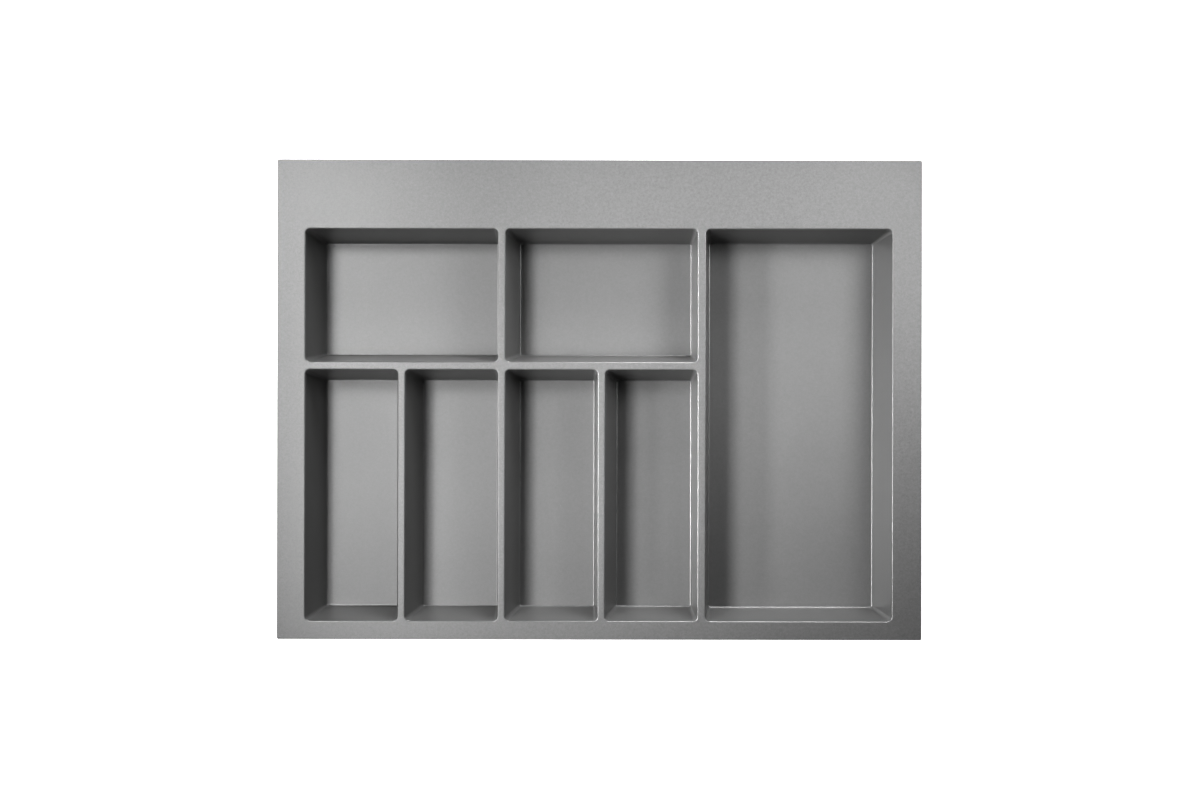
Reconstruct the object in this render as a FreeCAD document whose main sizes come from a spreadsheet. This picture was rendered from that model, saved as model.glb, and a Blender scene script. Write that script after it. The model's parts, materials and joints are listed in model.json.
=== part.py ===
"""One-piece vacuum-formed cutlery tray for a kitchen drawer, as a parametric document.

A single plastic sheet: a flat flange, wide along the rear where it is trimmed to suit the drawer, and
seven tapered wells. Four long cutlery wells stand side by side at the front, two short wells lie behind
them, and one wide well runs the full depth on the right, past the main divider. The dividers are the
same sheet folded over, so they are hollow underneath, and the tray stands on the undersides of its wells.

The body is drawn from the tray's front left corner with the rim plane at height zero. Its placement then
puts the origin at the middle of the underside: +X to the right, +Y to the rear, +Z up. Lengths are in
millimetres.
"""

import FreeCAD, Part

import os

import Sketcher

SHEET = "sizes"
TRAY = "tray"
PARTS_FOLDER = "parts"

DRIVING_SIZES = (
    ("tray_width", 645.0, "flange, left edge to right edge"),
    ("tray_depth", 480.0, "flange, front edge to rear edge"),
    ("tray_height", 50.0, "underside of the wells to the top of the flange"),
    ("margin_left", 28.1, "flange to the left of the wells"),
    ("margin_right", 29.6, "flange to the right of the wells"),
    ("margin_front", 18.4, "flange in front of the wells"),
    ("margin_rear", 69.0, "flange behind the wells, for trimming"),
    ("cutlery_well_width", 92.3, "rim of a long cutlery well, side to side"),
    ("rear_well_depth", 133.3, "rim of a short rear well, front to rear"),
    ("divider_width", 7.7, "rim of one well to the rim of the next"),
    ("main_divider_width", 8.6, "the same beside the wide well"),
    ("flange_thickness", 2.0, "sheet, not stretched"),
    ("wall_thickness", 1.2, "sheet, drawn thin in the walls"),
    ("floor_thickness", 1.3, "sheet, drawn thin in the floors"),
    ("steep_draft", 5.0, "degrees, side walls on the main divider's side"),
    ("sloped_draft", 11.7, "degrees, left walls of the cutlery and rear wells"),
    ("end_draft", 10.0, "degrees, front and rear walls of the same wells"),
    ("wide_well_sloped_draft", 13.8, "degrees, right wall of the wide well"),
    ("wide_well_end_draft", 9.1, "degrees, front and rear walls of the wide well"),
    ("well_corner_radius", 4.8, "upright corners inside a well"),
    ("rim_radius", 1.5, "upper edge of a well"),
    ("floor_radius", 1.8, "floor into wall, inside a well"),
    ("underside_radius", 1.2, "flange into wall, underneath"),
    ("flange_corner_radius", 1.6, "corners of the flange, seen from above"),
    ("flange_edge_radius", 0.5, "upper edge all round the flange"),
)

CUTLERY_WELLS = 4
CUTLERY_WELLS_PER_REAR_WELL = 2
WIDE_WELL = "wide_well"
SIDES = ("left", "right", "front", "rear")
DRAFTS = ("steep_draft", "sloped_draft", "end_draft", "wide_well_sloped_draft", "wide_well_end_draft")

# Places nearer to each other than this are the same place.
TOUCH = 1e-3
# A wall or an upright corner is taller than this share of the tray.
UPRIGHT_SHARE = 0.5


def size(alias):
    """A driving size, as an expression names it."""
    return f"<<{SHEET}>>.{alias}"


def make_sheet(doc):
    sheet = doc.addObject("Spreadsheet::Sheet", SHEET)
    for row, (alias, value, meaning) in enumerate(DRIVING_SIZES, start=1):
        sheet.set(f"A{row}", meaning)
        sheet.set(f"B{row}", str(value))
        sheet.setAlias(f"B{row}", alias)
    doc.recompute()
    return sheet


def well_rims():
    """Where each well's rim lies at the left, right, front and rear, as expressions."""
    width = size("cutlery_well_width")
    pitch = f"({width} + {size('divider_width')})"
    front = size("margin_front")
    rear = f"{size('tray_depth')} - {size('margin_rear')}"
    rear_wells_front = f"{rear} - {size('rear_well_depth')}"
    cutlery_wells_rear = f"{rear_wells_front} - {size('divider_width')}"
    lefts = [f"{size('margin_left')} + {column} * {pitch}" for column in range(CUTLERY_WELLS)]
    rights = [f"{left} + {width}" for left in lefts]

    rims = {}
    for number, (left, right) in enumerate(zip(lefts, rights), start=1):
        rims[f"cutlery_well_{number}"] = (left, right, front, cutlery_wells_rear)
    first_columns = range(0, CUTLERY_WELLS, CUTLERY_WELLS_PER_REAR_WELL)
    for number, first in enumerate(first_columns, start=1):
        last = first + CUTLERY_WELLS_PER_REAR_WELL - 1
        rims[f"rear_well_{number}"] = (lefts[first], rights[last], rear_wells_front, rear)
    wide_left = f"{rights[-1]} + {size('main_divider_width')}"
    wide_right = f"{size('tray_width')} - {size('margin_right')}"
    rims[WIDE_WELL] = (wide_left, wide_right, front, rear)
    return rims


def well_drafts(well):
    """The drafts of a well's left, right, front and rear walls. It is steep towards the main divider."""
    if well == WIDE_WELL:
        return "steep_draft", "wide_well_sloped_draft", "wide_well_end_draft", "wide_well_end_draft"
    return "sloped_draft", "steep_draft", "end_draft", "end_draft"


def grown_by_wall(rim, drafts):
    """A rim moved out to the outside of its walls, which measure more when they are cut at a slant."""
    outward = ("-", "+", "-", "+")
    return [f"{place} {sign} {size('wall_thickness')} / cos({size(draft)})"
            for place, sign, draft in zip(rim, outward, drafts)]


def rim_plane(body):
    return next(plane for plane in body.Origin.OriginFeatures if plane.Role == "XY_Plane")


def sketch_on_rim_plane(body, name):
    sketch = body.newObject("Sketcher::SketchObject", name)
    sketch.AttachmentSupport = [(rim_plane(body), "")]
    sketch.MapMode = "FlatFace"
    return sketch


def add_rectangle(sketch, name, places):
    """A unit square whose four sides are then held at the places given for left, right, front and rear."""
    start_point, end_point = 1, 2
    origin = (-1, 1)
    corners = [FreeCAD.Vector(0, 0), FreeCAD.Vector(1, 0), FreeCAD.Vector(1, 1), FreeCAD.Vector(0, 1)]
    lines = sketch.addGeometry(
        [Part.LineSegment(start, end) for start, end in zip(corners, corners[1:] + corners[:1])])
    for line, following in zip(lines, lines[1:] + lines[:1]):
        sketch.addConstraint(Sketcher.Constraint("Coincident", line, end_point, following, start_point))
    front, right, rear, left = lines
    held_lines = (("Vertical", "DistanceX", left), ("Vertical", "DistanceX", right),
                  ("Horizontal", "DistanceY", front), ("Horizontal", "DistanceY", rear))
    for side, (direction, distance, line), place in zip(SIDES, held_lines, places):
        sketch.addConstraint(Sketcher.Constraint(direction, line))
        index = sketch.addConstraint(Sketcher.Constraint(distance, *origin, line, start_point, 1))
        sketch.renameConstraint(index, f"{name}_{side}")
        sketch.setExpression(f"Constraints.{name}_{side}", place)


def add_feature(body, kind, name, **expressions):
    """A PartDesign feature with properties bound to expressions."""
    feature = body.newObject(f"PartDesign::{kind}", name)
    for prop, expression in expressions.items():
        feature.setExpression(prop, expression)
    return feature


def pad_down(doc, body, name, sketch, length):
    pad = add_feature(body, "Pad", name, Length=length)
    pad.Profile = sketch
    pad.Reversed = True
    doc.recompute()
    return pad


def pocket_down(doc, body, name, sketch, depth):
    pocket = add_feature(body, "Pocket", name, Length=depth)
    pocket.Profile = sketch
    doc.recompute()
    return pocket


def same(first, second):
    return abs(first - second) < TOUCH


def is_level_at(edge, height):
    return same(edge.BoundBox.ZMin, height) and same(edge.BoundBox.ZMax, height)


def is_upright(item, sheet):
    return item.BoundBox.ZLength > UPRIGHT_SHARE * sheet.tray_height


def is_on_flange_outline(edge, sheet):
    box = edge.BoundBox
    return (same(box.XMin, 0) or same(box.YMin, 0)
            or same(box.XMax, sheet.tray_width) or same(box.YMax, sheet.tray_depth))


def is_wall_of(face, rim, side):
    """Whether a face is the wall on one side of a rim, given as its left, right, front and rear places."""
    left, right, front, rear = rim
    box = face.BoundBox
    is_inside = (box.XMin > left - TOUCH and box.XMax < right + TOUCH
                 and box.YMin > front - TOUCH and box.YMax < rear + TOUCH)
    low, high = (box.XMin, box.XMax) if side in ("left", "right") else (box.YMin, box.YMax)
    place = rim[SIDES.index(side)]
    return is_inside and same(low, place) and same(high, place)


def lean_walls(doc, body, name, base, sketch, sheet, is_block):
    """Tapers the walls that a sketch of rims has made, so that each block or well narrows downwards."""
    rims = {well: [sketch.getDatum(f"{well}_{side}").Value for side in SIDES] for well in well_rims()}
    for draft in DRAFTS:
        leant = [(rims[well], side) for well in rims
                 for side, wall_draft in zip(SIDES, well_drafts(well)) if wall_draft == draft]
        walls = [f"Face{index}" for index, face in enumerate(base.Shape.Faces, start=1)
                 if is_upright(face, sheet) and any(is_wall_of(face, rim, side) for rim, side in leant)]
        leaning = add_feature(body, "Draft", f"{name}_{draft}", Angle=size(draft))
        leaning.Base = (base, walls)
        leaning.NeutralPlane = (rim_plane(body), [""])
        leaning.Reversed = is_block
        doc.recompute()
        base = leaning
    return base


def round_edges(doc, body, name, base, radius, is_chosen):
    edges = [f"Edge{index}" for index, edge in enumerate(base.Shape.Edges, start=1) if is_chosen(edge)]
    rounds = add_feature(body, "Fillet", name, Radius=radius)
    rounds.Base = (base, edges)
    doc.recompute()
    return rounds


def build_tray(doc, sheet):
    body = doc.addObject("PartDesign::Body", "tray_body")
    body.Label = TRAY
    body.setExpression(".Placement.Base.x", f"-{size('tray_width')} / 2")
    body.setExpression(".Placement.Base.y", f"-{size('tray_depth')} / 2")
    body.setExpression(".Placement.Base.z", size("tray_height"))
    rims = well_rims()

    flange_outline = sketch_on_rim_plane(body, "flange_outline")
    add_rectangle(flange_outline, "flange", ("0", size("tray_width"), "0", size("tray_depth")))
    pad_down(doc, body, "flange", flange_outline, size("flange_thickness"))

    # The wells: straight blocks under the flange, hollowed from above, then leant inside and out.
    block_outlines = sketch_on_rim_plane(body, "block_outlines")
    well_outlines = sketch_on_rim_plane(body, "well_outlines")
    for well, rim in rims.items():
        add_rectangle(block_outlines, well, grown_by_wall(rim, well_drafts(well)))
        add_rectangle(well_outlines, well, rim)
    pad_down(doc, body, "blocks", block_outlines, size("tray_height"))
    well_depth = f"{size('tray_height')} - {size('floor_thickness')}"
    tip = pocket_down(doc, body, "wells", well_outlines, well_depth)
    tip = lean_walls(doc, body, "wells", tip, well_outlines, sheet, is_block=False)
    tip = lean_walls(doc, body, "blocks", tip, block_outlines, sheet, is_block=True)
    tip = round_edges(
        doc, body, "well_corners", tip, size("well_corner_radius"),
        lambda edge: is_upright(edge, sheet) and same(edge.BoundBox.ZMax, 0))
    tip = round_edges(
        doc, body, "block_corners", tip, f"{size('well_corner_radius')} + {size('wall_thickness')}",
        lambda edge: is_upright(edge, sheet) and same(edge.BoundBox.ZMin, -sheet.tray_height))

    # The rounds that the sheet takes where it bends.
    tip = round_edges(
        doc, body, "floor_rounds", tip, size("floor_radius"),
        lambda edge: is_level_at(edge, sheet.floor_thickness - sheet.tray_height))
    tip = round_edges(
        doc, body, "base_rounds", tip, f"{size('floor_radius')} + {size('wall_thickness')}",
        lambda edge: is_level_at(edge, -sheet.tray_height))
    tip = round_edges(
        doc, body, "rim_rounds", tip, size("rim_radius"),
        lambda edge: is_level_at(edge, 0) and not is_on_flange_outline(edge, sheet))
    tip = round_edges(
        doc, body, "underside_rounds", tip, size("underside_radius"),
        lambda edge: (is_level_at(edge, -sheet.flange_thickness)
                      and not is_on_flange_outline(edge, sheet)))

    # The trimmed outline of the flange.
    tip = round_edges(
        doc, body, "flange_corners", tip, size("flange_corner_radius"),
        lambda edge: (is_on_flange_outline(edge, sheet)
                      and same(edge.BoundBox.ZLength, sheet.flange_thickness)))
    round_edges(
        doc, body, "flange_edge", tip, size("flange_edge_radius"),
        lambda edge: is_on_flange_outline(edge, sheet) and is_level_at(edge, 0))
    return body


def check(doc, body):
    """Stops with a message if any object failed or the tray is not one sound solid."""
    failed = [item.Name for item in doc.Objects if {"Invalid", "Error"} & set(item.State)]
    if failed:
        raise RuntimeError(f"not recomputed: {', '.join(failed)}")
    shape = body.Shape
    if shape.isNull() or not shape.isValid() or len(shape.Solids) != 1:
        raise RuntimeError(f"{body.Label} is not one valid solid")


def main():
    doc = FreeCAD.newDocument("cutlery_tray")
    sheet = make_sheet(doc)
    tray = build_tray(doc, sheet)
    doc.recompute()
    check(doc, tray)
    os.makedirs(PARTS_FOLDER, exist_ok=True)
    tray.Shape.exportStep(f"{PARTS_FOLDER}/{tray.Label}.step")


main()
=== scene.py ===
"""Looks of a one-piece vacuum-formed cutlery tray, lit as a product picture taken from straight above.

The sheet is one closed mesh of rings: a rounded rectangle for each step down a well's rim bend, wall and
floor bend, once for the upper face and once for the underside. The wells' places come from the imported
frame's openings, so the mesh follows the frame. Lengths are in metres.
"""

import json
import math

import bmesh
import bpy
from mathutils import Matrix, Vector


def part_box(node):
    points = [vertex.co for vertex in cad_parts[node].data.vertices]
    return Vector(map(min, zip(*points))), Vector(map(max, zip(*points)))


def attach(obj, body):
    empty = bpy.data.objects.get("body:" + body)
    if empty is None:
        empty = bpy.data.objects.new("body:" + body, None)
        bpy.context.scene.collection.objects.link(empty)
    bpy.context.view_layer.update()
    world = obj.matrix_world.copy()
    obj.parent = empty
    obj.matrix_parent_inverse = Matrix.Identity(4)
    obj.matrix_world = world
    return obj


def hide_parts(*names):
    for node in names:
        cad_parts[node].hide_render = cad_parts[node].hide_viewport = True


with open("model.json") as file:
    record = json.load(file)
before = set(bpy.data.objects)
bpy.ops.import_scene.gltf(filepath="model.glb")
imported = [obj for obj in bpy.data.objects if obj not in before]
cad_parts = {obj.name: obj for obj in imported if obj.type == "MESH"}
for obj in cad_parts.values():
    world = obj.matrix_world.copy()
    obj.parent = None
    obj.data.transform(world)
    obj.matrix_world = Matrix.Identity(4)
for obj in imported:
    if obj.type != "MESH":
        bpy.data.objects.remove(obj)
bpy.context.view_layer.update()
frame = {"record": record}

MM = 0.001

# The sheet.
FLANGE_THICKNESS = 2.0 * MM
WALL_THICKNESS = 1.2 * MM
FLOOR_THICKNESS = 1.3 * MM
WELL_CORNER_RADIUS = 4.8 * MM
CORNER_TAPER = 2.4 * MM
RIM_RADIUS = 1.5 * MM
FLOOR_RADIUS = 1.8 * MM
UNDERSIDE_RADIUS = 1.2 * MM
FLANGE_CORNER_RADIUS = 1.6 * MM
FLANGE_EDGE_RADIUS = 0.5 * MM

# An opening's box stands this far inside the feet of its well's walls.
OPENING_CLEARANCE = FLOOR_RADIUS + 0.2 * MM

# How the walls lean out of upright, in degrees.
STEEP_DRAFT = 5.0
SLOPED_DRAFT = 11.7
END_DRAFT = 10.0
WIDE_WELL_SLOPED_DRAFT = 13.8
WIDE_WELL_END_DRAFT = 9.1
WIDE_WELL = "wide_well"

# Fineness of the mesh.
BEND_STEPS = 10
WALL_STEPS = 6
CORNER_STEPS = 12
EDGE_STEPS = 4

# Shading: edges bent by more degrees than this stay sharp, and large faces keep their own direction.
SHARP_ANGLE = 50.0
LARGE_FACE_WEIGHT = 100

# How far the mould smooths the grain, against none on the flange. The bends are as smooth as the walls.
FLOOR_POLISH = 0.55
WALL_POLISH = 1.0

SIDES = ("left", "right", "front", "rear")
OUTWARD = {"left": -1, "right": 1, "front": -1, "rear": 1}
# The corners in the order in which a ring passes them, each between two sides.
CORNERS = (("front", "right"), ("right", "rear"), ("rear", "left"), ("left", "front"))

TRAY_LOW, TRAY_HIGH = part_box("tray")
RIM_HEIGHT = TRAY_HIGH.z
BASE_HEIGHT = TRAY_LOW.z
FLOOR_HEIGHT = BASE_HEIGHT + FLOOR_THICKNESS


def drafts_of(name):
    """The lean of a well's walls by side, in radians. A well is steep on the side of the main divider."""
    if name == WIDE_WELL:
        degrees = (STEEP_DRAFT, WIDE_WELL_SLOPED_DRAFT, WIDE_WELL_END_DRAFT, WIDE_WELL_END_DRAFT)
    else:
        degrees = (SLOPED_DRAFT, STEEP_DRAFT, END_DRAFT, END_DRAFT)
    return {side: math.radians(angle) for side, angle in zip(SIDES, degrees)}


def wells():
    """For each well, where its walls would cut the rim plane, by side, and their drafts."""
    found = []
    for opening in frame["record"]["physics"]["openings"]:
        name = opening["name"]
        if "well" not in name:
            continue
        low, high = opening["box_m"]
        box = {"left": low[0], "right": high[0], "front": low[1], "rear": high[1]}
        drafts = drafts_of(name)
        depth = RIM_HEIGHT - FLOOR_HEIGHT
        rim = {side: box[side] + OUTWARD[side] * (OPENING_CLEARANCE + depth * math.tan(drafts[side]))
               for side in SIDES}
        found.append((rim, drafts))
    return found


def bend(radius, draft, steps):
    """The round between a level sheet and a wall, as steps inward and down from where the two would meet."""
    turn = math.pi / 2 - draft
    reach = radius * math.tan(turn / 2)
    angles = [turn * step / steps for step in range(steps + 1)]
    return [(radius * math.sin(angle) - reach, radius * (1 - math.cos(angle))) for angle in angles]


def wall_section(draft, top, top_radius, foot, foot_radius):
    """A wall from the level sheet above it to the one below, as (inward, height) for each ring.

    Inward counts from where the wall would cut the rim plane.
    """
    slope = math.tan(draft)
    upper = [((RIM_HEIGHT - top) * slope + inward, top - down)
             for inward, down in bend(top_radius, draft, BEND_STEPS)]
    lower = [((RIM_HEIGHT - foot) * slope - inward, foot + down)
             for inward, down in reversed(bend(foot_radius, draft, BEND_STEPS))]
    start = Vector(upper[-1])
    end = Vector(lower[0])
    between = [tuple(start.lerp(end, step / WALL_STEPS)) for step in range(1, WALL_STEPS)]
    return upper + between + lower


def ring_points(places, heights, corner_radii):
    """A rounded rectangle, anticlockwise from its front right corner. Each side may lie at its own height."""
    points = []
    for number, ((first, second), radius) in enumerate(zip(CORNERS, corner_radii)):
        across, along = (second, first) if first in ("front", "rear") else (first, second)
        centre_x = places[across] - OUTWARD[across] * radius
        centre_y = places[along] - OUTWARD[along] * radius
        for step in range(CORNER_STEPS + 1):
            share = step / CORNER_STEPS
            angle = (number - 1 + share) * math.pi / 2
            ease = (1 - math.cos(math.pi * share)) / 2
            height = heights[first] + (heights[second] - heights[first]) * ease
            points.append((centre_x + radius * math.cos(angle), centre_y + radius * math.sin(angle), height))
    return points


class Sheet:
    """The tray's mesh while it grows, with what its material needs to know at each point."""

    def __init__(self):
        self.mesh = bmesh.new()
        self.polish = self.mesh.verts.layers.float.new("polish")
        self.under = self.mesh.verts.layers.float.new("under")
        self.sawn = self.mesh.verts.layers.float.new("sawn")

    def ring(self, points, polish=0.0, under=0.0, sawn=0.0):
        verts = [self.mesh.verts.new(point) for point in points]
        for vert in verts:
            vert[self.polish] = polish
            vert[self.under] = under
            vert[self.sawn] = sawn
        return verts

    def join(self, first, second):
        """Quads between two rings."""
        for index in range(len(first)):
            following = (index + 1) % len(first)
            self.mesh.faces.new((first[index], first[following], second[following], second[index]))

    def cap(self, ring):
        self.mesh.faces.new(ring)

    def fill(self, outline, holes):
        """The level sheet between an outline and the holes in it."""
        edges = []
        for ring in [outline] + holes:
            for index, vert in enumerate(ring):
                pair = (vert, ring[(index + 1) % len(ring)])
                edges.append(self.mesh.edges.get(pair) or self.mesh.edges.new(pair))
        bmesh.ops.triangle_fill(self.mesh, edges=edges, use_beauty=True, use_dissolve=False)

    def finished(self, name):
        bmesh.ops.recalc_face_normals(self.mesh, faces=self.mesh.faces)
        data = bpy.data.meshes.new(name)
        self.mesh.to_mesh(data)
        self.mesh.free()
        return data


def polish_of(index, count):
    """How far the mould has smoothed the sheet's grain at one ring of a well."""
    if index == 0:
        return 0.0
    if index == count - 1:
        return FLOOR_POLISH
    return WALL_POLISH


def add_well(sheet, rim, drafts, top, top_radius, foot, foot_radius, corner_radius, under):
    """One face of a well, from the ring where it leaves the level sheet to its floor. Returns that ring."""
    sections = {side: wall_section(drafts[side], top, top_radius, foot, foot_radius) for side in SIDES}
    count = len(sections["left"])
    rings = []
    for index in range(count):
        inward = {side: sections[side][index][0] for side in SIDES}
        heights = {side: sections[side][index][1] for side in SIDES}
        places = {side: rim[side] - OUTWARD[side] * inward[side] for side in SIDES}
        past_wall = {side: inward[side] - (RIM_HEIGHT - heights[side]) * math.tan(drafts[side])
                     for side in SIDES}
        # The upright corners grow sharper on the way down, as the sheet is drawn into them.
        sharper = CORNER_TAPER * (RIM_HEIGHT - heights["left"]) / (RIM_HEIGHT - BASE_HEIGHT)
        radii = [corner_radius - sharper - (past_wall[first] + past_wall[second]) / 2
                 for first, second in CORNERS]
        points = ring_points(places, heights, radii)
        rings.append(sheet.ring(points, polish=polish_of(index, count), under=under))
    for upper, lower in zip(rings, rings[1:]):
        sheet.join(upper, lower)
    sheet.cap(rings[-1])
    return rings[0]


def add_flange_edge(sheet):
    """The trimmed outline of the flange. Returns its uppermost and lowest rings."""
    outline = {"left": TRAY_LOW.x, "right": TRAY_HIGH.x, "front": TRAY_LOW.y, "rear": TRAY_HIGH.y}
    section = [(outward, RIM_HEIGHT - down) for outward, down in bend(FLANGE_EDGE_RADIUS, 0.0, EDGE_STEPS)]
    section.append((0.0, RIM_HEIGHT - FLANGE_THICKNESS))
    rings = []
    for index, (outward, height) in enumerate(section):
        places = {side: outline[side] + OUTWARD[side] * outward for side in SIDES}
        radii = [FLANGE_CORNER_RADIUS + outward] * len(CORNERS)
        points = ring_points(places, dict.fromkeys(SIDES, height), radii)
        rings.append(sheet.ring(points, sawn=float(index > 0)))
    for upper, lower in zip(rings, rings[1:]):
        sheet.join(upper, lower)
    return rings[0], rings[-1]


def make_tray():
    sheet = Sheet()
    upper_holes = []
    lower_holes = []
    for rim, drafts in wells():
        upper_holes.append(add_well(
            sheet, rim, drafts, RIM_HEIGHT, RIM_RADIUS, FLOOR_HEIGHT,
            FLOOR_RADIUS, WELL_CORNER_RADIUS, under=0.0))
        outside = {side: rim[side] + OUTWARD[side] * WALL_THICKNESS / math.cos(drafts[side])
                   for side in SIDES}
        lower_holes.append(add_well(
            sheet, outside, drafts, RIM_HEIGHT - FLANGE_THICKNESS, UNDERSIDE_RADIUS, BASE_HEIGHT,
            FLOOR_RADIUS + WALL_THICKNESS, WELL_CORNER_RADIUS + WALL_THICKNESS, under=1.0))
    upper_outline, lower_outline = add_flange_edge(sheet)
    sheet.fill(upper_outline, upper_holes)
    sheet.fill(lower_outline, lower_holes)
    data = sheet.finished("formed_tray")
    for polygon in data.polygons:
        polygon.use_smooth = True
    data.set_sharp_from_angle(angle=math.radians(SHARP_ANGLE))
    tray = bpy.data.objects.new("formed_tray", data)
    bpy.context.scene.collection.objects.link(tray)
    flats_stay_flat = tray.modifiers.new("flats_stay_flat", "WEIGHTED_NORMAL")
    flats_stay_flat.mode = "FACE_AREA"
    flats_stay_flat.weight = LARGE_FACE_WEIGHT
    flats_stay_flat.keep_sharp = True
    return tray


# How strong each finer layer of a noise is against the one before.
FINER_LAYER_SHARE = 0.5


class Nodes:
    """A short way to write a material's nodes."""

    def __init__(self, material):
        material.use_nodes = True
        self.tree = material.node_tree
        self.shader = self.tree.nodes["Principled BSDF"]

    def add(self, kind, inputs=None, **settings):
        """A node. Each input is a plain value or another node's output."""
        node = self.tree.nodes.new(f"ShaderNode{kind}")
        for name, value in settings.items():
            setattr(node, name, value)
        for name, value in (inputs or {}).items():
            self.feed(node.inputs[name], value)
        return node

    def feed(self, socket, value):
        if isinstance(value, bpy.types.NodeSocket):
            self.tree.links.new(value, socket)
        else:
            socket.default_value = value

    def math(self, operation, first, second):
        return self.add("Math", {0: first, 1: second}, operation=operation).outputs[0]

    def sum(self, first, *others):
        total = first
        for other in others:
            total = self.math("ADD", total, other)
        return total

    def noise(self, place, cell, detail):
        """Fractal noise from 0 to 1 whose cells are about as wide as given."""
        inputs = {"Vector": place, "Scale": 1 / cell, "Detail": detail, "Roughness": FINER_LAYER_SHARE}
        return self.add("TexNoise", inputs).outputs["Fac"]

    def swing(self, value, amount):
        """A value from 0 to 1 turned into one that swings about 0 by the amount."""
        centred = self.math("SUBTRACT", value, 0.5)
        return self.math("MULTIPLY", centred, 2 * amount)

    def attribute(self, name):
        return self.add("Attribute", attribute_name=name).outputs["Fac"]


# The plastic: grey polystyrene with a fine pebble grain.
GREY = 0.16
REFRACTION = 1.59
SPECULAR_LEVEL = 1.0
GRAIN_CELL = 0.8 * MM
GRAIN_DETAIL = 1.0
GRAIN_HEIGHT = 0.04 * MM
GRAIN_TONE = 0.22
MOTTLE_CELL = 2.6 * MM
MOTTLE_DETAIL = 2.0
MOTTLE_HEIGHT = 0.05 * MM
MOTTLE_TONE = 0.2
MOTTLE_ROUGHNESS = 0.06
CLOUD_CELL = 60 * MM
CLOUD_DETAIL = 2.0
CLOUD_TONE = 0.03
FLAT_ROUGHNESS = 0.45
BENT_ROUGHNESS = 0.29
UNDER_ROUGHNESS = 0.36
UNDER_GRAIN = 0.3
# The gloss rises late as the grain is smoothed, so that the floors stay nearly as dull as the flange.
GLOSS_POWER = 4.0

# The sawn edge of the flange.
SAW_LINE_CELL = 0.25 * MM
SAW_LINE_DETAIL = 2.0
SAW_LINE_LENGTH = 30
SAW_LINE_TONE = 0.12
SAWN_TONE = 0.12
SAWN_ROUGHNESS = 0.2

# Wear: walls and bends rubbed a little lighter in places, and a few specks of dust.
RUB_CELL = 14 * MM
RUB_DETAIL = 3.0
RUB_TONE = 0.05
RUB_ROUGHNESS = 0.06
SPECK_SPACING = 45 * MM
SPECK_RADIUS = 0.45 * MM
SPECK_TONE = 0.35


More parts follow.
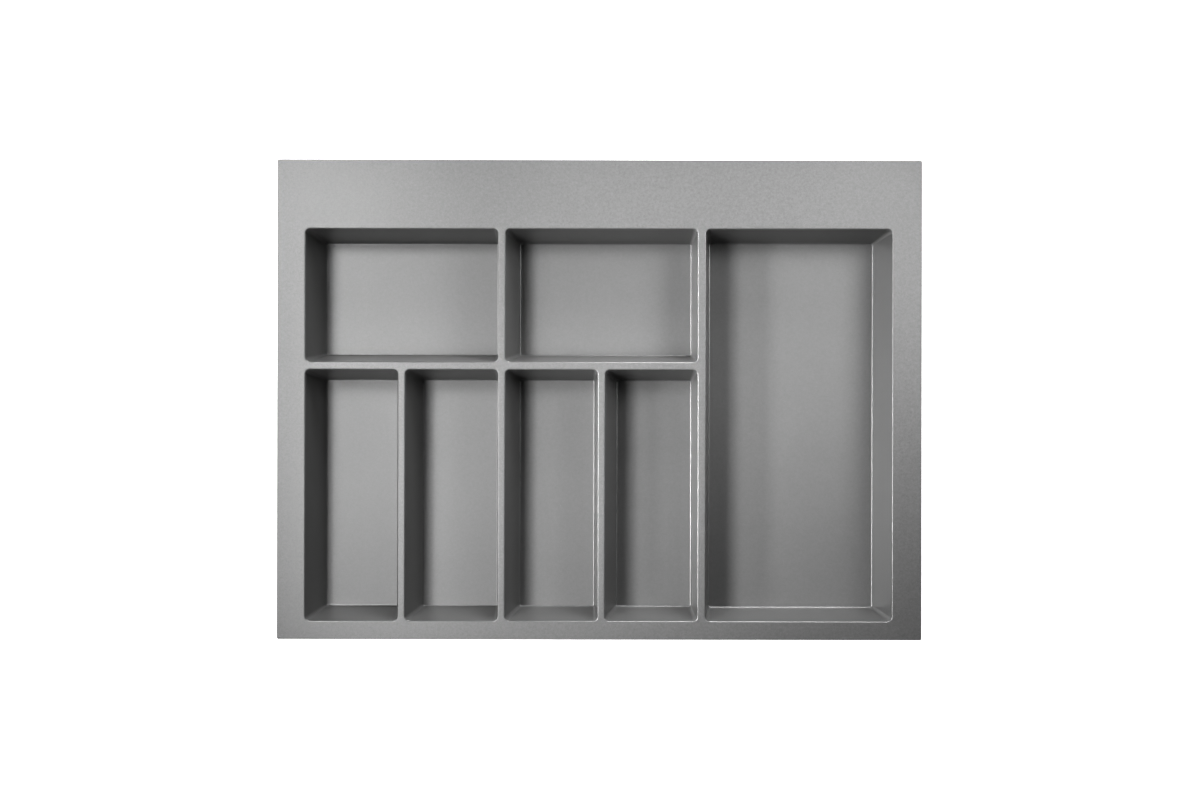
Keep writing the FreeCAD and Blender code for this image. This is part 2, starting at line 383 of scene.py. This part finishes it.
def grained_plastic():
    """Satin grey sheet: a pebble grain that is drawn smooth and glossy on the walls and bends."""
    material = bpy.data.materials.new("grained_plastic")
    nodes = Nodes(material)
    place = nodes.add("TexCoord").outputs["Object"]
    polish = nodes.attribute("polish")
    under = nodes.attribute("under")
    sawn = nodes.attribute("sawn")

    grain = nodes.noise(place, GRAIN_CELL, GRAIN_DETAIL)
    mottle = nodes.noise(place, MOTTLE_CELL, MOTTLE_DETAIL)
    cloud = nodes.noise(place, CLOUD_CELL, CLOUD_DETAIL)
    rubbed = nodes.math("MULTIPLY", polish, nodes.noise(place, RUB_CELL, RUB_DETAIL))
    along = nodes.add("VectorMath", {0: place, 1: (1 / SAW_LINE_LENGTH, 1 / SAW_LINE_LENGTH, 1)},
                      operation="MULTIPLY").outputs["Vector"]
    saw_lines = nodes.noise(along, SAW_LINE_CELL, SAW_LINE_DETAIL)
    to_speck = nodes.add("TexVoronoi", {"Vector": place, "Scale": 1 / SPECK_SPACING}).outputs["Distance"]
    speck = nodes.math("LESS_THAN", to_speck, SPECK_RADIUS / SPECK_SPACING)

    # How much of the grain is left: all of it on the flange, none on the walls and bends.
    kept = nodes.math("SUBTRACT", 1.0, polish)
    top_share = nodes.math("SUBTRACT", 1.0, nodes.math("MULTIPLY", under, 1 - UNDER_GRAIN))
    grained = nodes.math("MULTIPLY", kept, top_share)

    pebbles = nodes.math("MULTIPLY", nodes.swing(grain, GRAIN_TONE), grained)
    patches = nodes.math("MULTIPLY", nodes.swing(mottle, MOTTLE_TONE), grained)
    shade = nodes.sum(pebbles, patches, nodes.swing(cloud, CLOUD_TONE),
                      nodes.math("MULTIPLY", rubbed, RUB_TONE),
                      nodes.math("MULTIPLY", speck, SPECK_TONE),
                      nodes.math("MULTIPLY", sawn, SAWN_TONE),
                      nodes.math("MULTIPLY", sawn, nodes.swing(saw_lines, SAW_LINE_TONE)))
    tone = nodes.math("MULTIPLY", nodes.math("ADD", shade, 1.0), GREY)
    colour = nodes.add("CombineColor", {"Red": tone, "Green": tone, "Blue": tone}).outputs["Color"]
    nodes.feed(nodes.shader.inputs["Base Color"], colour)
    nodes.shader.inputs["IOR"].default_value = REFRACTION
    nodes.shader.inputs["Specular IOR Level"].default_value = SPECULAR_LEVEL

    gloss = nodes.math("POWER", polish, GLOSS_POWER)
    smoothing = nodes.math("MULTIPLY", gloss, BENT_ROUGHNESS - FLAT_ROUGHNESS)
    flat_under = nodes.math("MULTIPLY", under, kept)
    roughness = nodes.sum(smoothing, FLAT_ROUGHNESS,
                          nodes.math("MULTIPLY", flat_under, UNDER_ROUGHNESS - FLAT_ROUGHNESS),
                          nodes.math("MULTIPLY", rubbed, RUB_ROUGHNESS),
                          nodes.math("MULTIPLY", sawn, SAWN_ROUGHNESS),
                          nodes.math("MULTIPLY", nodes.swing(mottle, MOTTLE_ROUGHNESS), grained))
    nodes.feed(nodes.shader.inputs["Roughness"], roughness)

    coarse = nodes.add("Bump", {"Height": mottle, "Distance": MOTTLE_HEIGHT, "Strength": grained})
    fine = nodes.add("Bump", {"Height": grain, "Distance": GRAIN_HEIGHT, "Strength": grained,
                              "Normal": coarse.outputs["Normal"]})
    lines = nodes.add("Bump", {"Height": saw_lines, "Distance": GRAIN_HEIGHT, "Strength": sawn,
                               "Normal": fine.outputs["Normal"]})
    nodes.feed(nodes.shader.inputs["Normal"], lines.outputs["Normal"])
    return material


# The white surroundings.
WHITE = (1, 1, 1, 1)
BLACK = (0, 0, 0, 1)
TABLE_COLOUR = (0.8, 0.8, 0.8, 1)
TABLE_ROUGHNESS = 0.9
TABLE_ACROSS = 6.0
TABLE_GLOW = 1.0
TABLE_GAP = 0.2 * MM
BACKDROP_RADIUS = 6.0
BACKDROP_SEGMENTS = 48
BACKDROP_RINGS = 24
BACKDROP_GLOW = 1.0
ROOM_GLOW = 0.02

# The picture's contrast, as a power of the light.
CONTRAST = 1.4

# The camera, fitted to the picture: lens and sensor in millimetres, the shift in shares of the frame's width.
LENS = 41.5
SENSOR_WIDTH = 36.0
SHIFT_ACROSS = -0.04375
SHIFT_UP = 0.0204

# Its place above the tray, and how far it is turned, in degrees.
CAMERA_ACROSS = 0.0531
CAMERA_ALONG = -0.0246
CAMERA_ABOVE_RIM = 1.384
CAMERA_TURN = 0.12


def add_floor():
    """A plain white table that glows, so that it is as white as the picture's background."""
    bpy.ops.mesh.primitive_plane_add(size=TABLE_ACROSS, location=(0, 0, BASE_HEIGHT - TABLE_GAP))
    floor = bpy.context.object
    floor.name = "floor"
    material = bpy.data.materials.new("white_table")
    nodes = Nodes(material)
    nodes.shader.inputs["Base Color"].default_value = TABLE_COLOUR
    nodes.shader.inputs["Roughness"].default_value = TABLE_ROUGHNESS
    nodes.shader.inputs["Emission Color"].default_value = WHITE
    nodes.shader.inputs["Emission Strength"].default_value = TABLE_GLOW
    floor.data.materials.append(material)


def add_backdrop():
    """A white hall round the table. Only the camera sees it, so it lights nothing."""
    bpy.ops.mesh.primitive_uv_sphere_add(
        segments=BACKDROP_SEGMENTS, ring_count=BACKDROP_RINGS, radius=BACKDROP_RADIUS)
    backdrop = bpy.context.object
    backdrop.name = "backdrop"
    material = bpy.data.materials.new("white_hall")
    nodes = Nodes(material)
    nodes.shader.inputs["Base Color"].default_value = BLACK
    nodes.shader.inputs["Emission Color"].default_value = WHITE
    nodes.shader.inputs["Emission Strength"].default_value = BACKDROP_GLOW
    backdrop.data.materials.append(material)
    backdrop.visible_diffuse = False
    backdrop.visible_glossy = False
    backdrop.visible_transmission = False
    backdrop.visible_shadow = False


def add_light(name, aim, azimuth, elevation, distance, width, length, spread, power):
    """A soft box turned to a point of the rim plane, with a grid that keeps its beam within the spread.

    The point is given in shares of the tray's half width and half depth. Azimuth and elevation tell from
    where the light comes, in degrees. Azimuth counts from the right to the rear.
    """
    data = bpy.data.lights.new(name, "AREA")
    data.shape = "RECTANGLE"
    data.size = width
    data.size_y = length
    data.spread = math.radians(spread)
    data.energy = power
    light = bpy.data.objects.new(name, data)
    bpy.context.scene.collection.objects.link(light)
    turn = math.radians(azimuth)
    rise = math.radians(elevation)
    back = Vector((math.cos(turn) * math.cos(rise), math.sin(turn) * math.cos(rise), math.sin(rise)))
    centre = (TRAY_LOW + TRAY_HIGH) / 2
    half = (TRAY_HIGH - TRAY_LOW) / 2
    target = Vector((centre.x + aim[0] * half.x, centre.y + aim[1] * half.y, RIM_HEIGHT))
    light.location = target + distance * back
    light.rotation_euler = (-back).to_track_quat("-Z", "Y").to_euler()
    light.visible_camera = False


def add_lights():
    """Six soft boxes, each set for one thing that the picture shows."""
    # The shadows of the left walls on the floors.
    add_light("key", aim=(0.6, -0.4), azimuth=185, elevation=55, distance=1.3,
              width=0.6, length=0.3, spread=70, power=2.4)
    # The flange is brightest at the rear left.
    add_light("rear_left", aim=(-0.6, 0.4), azimuth=140, elevation=60, distance=1.2,
              width=0.4, length=0.3, spread=60, power=1.1)
    # The front walls and the bends at their rims and feet.
    add_light("rear", aim=(0.0, -0.4), azimuth=80, elevation=15, distance=1.3,
              width=0.6, length=0.6, spread=60, power=2.5)
    # The left walls, and the right flange, which darkens towards the front.
    add_light("right", aim=(0.6, 0.4), azimuth=30, elevation=50, distance=0.6,
              width=0.5, length=0.3, spread=60, power=0.7)
    # The bright lines on the bends of the right walls.
    add_light("left_strip", aim=(0.3, 0.4), azimuth=180, elevation=35, distance=0.5,
              width=0.6, length=0.06, spread=40, power=0.3)
    # The rear walls.
    add_light("front_left", aim=(-0.6, 0.8), azimuth=260, elevation=15, distance=1.0,
              width=0.4, length=0.2, spread=40, power=0.1)


def add_camera():
    """Straight down, shifted as the picture is framed."""
    data = bpy.data.cameras.new("camera")
    data.lens = LENS
    data.sensor_width = SENSOR_WIDTH
    data.shift_x = SHIFT_ACROSS
    data.shift_y = SHIFT_UP
    camera = bpy.data.objects.new("camera", data)
    bpy.context.scene.collection.objects.link(camera)
    camera.location = (CAMERA_ACROSS, CAMERA_ALONG, RIM_HEIGHT + CAMERA_ABOVE_RIM)
    camera.rotation_euler = (0, 0, math.radians(CAMERA_TURN))
    bpy.context.scene.camera = camera


tray = make_tray()
tray.data.materials.append(grained_plastic())
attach(tray, "root")
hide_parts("tray")

add_floor()
add_backdrop()
add_lights()
world = bpy.data.worlds.new("room")
world.use_nodes = True
world.node_tree.nodes["Background"].inputs["Strength"].default_value = ROOM_GLOW
bpy.context.scene.world = world
bpy.context.scene.view_settings.view_transform = "Standard"
bpy.context.scene.view_settings.gamma = 1 / CONTRAST
add_camera()
